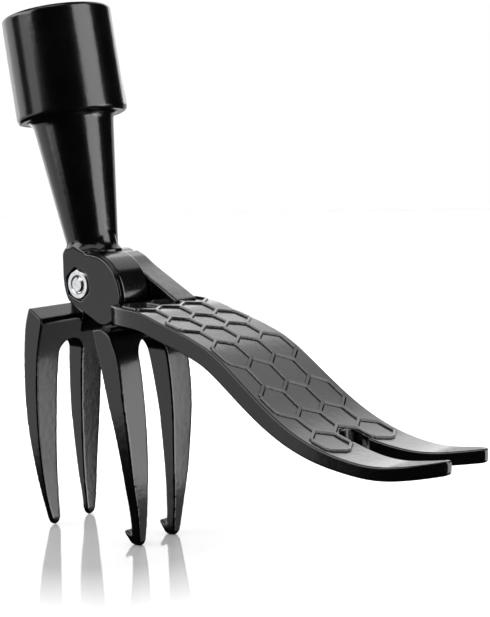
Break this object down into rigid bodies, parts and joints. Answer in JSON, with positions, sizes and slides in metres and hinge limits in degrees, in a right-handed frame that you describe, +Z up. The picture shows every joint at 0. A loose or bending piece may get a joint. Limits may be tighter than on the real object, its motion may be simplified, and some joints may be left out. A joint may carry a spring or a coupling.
{
  "type": "weed puller head",
  "caption": "Stand-up weed puller head: pole socket, foot pedal with honeycomb tread, and two claw forks that close like scissors on one bolt.",
  "frame": {"origin": "on the ground, under the middle of the head's box, with the four claw tips on the ground", "axes": "+X towards the pedal tip, +Y across the head towards the bolt head, away from the nut, +Z up"},
  "size_m": [0.1958, 0.0402, 0.1906],
  "materials": {
    "painted_casting": "gloss black powder coat on cast metal",
    "zinc_steel": "bright zinc plate"
  },
  "bodies": {
    "pedal_side": {"pedal_casting": "painted_casting"},
    "handle_side": {"handle_casting": "painted_casting", "pivot_bolt": "zinc_steel", "lock_nut": "zinc_steel", "head_washer": "zinc_steel", "thrust_washer": "zinc_steel", "pole_screw": "zinc_steel"}
  },
  "joints": [
    {"name": "claw_hinge", "type": "hinge", "parent": "pedal_side", "child": "handle_side", "pos_m": [-0.0603, 0, 0.0912], "axis": [0, 1, 0], "range_deg": [0, 24]}
  ]
}
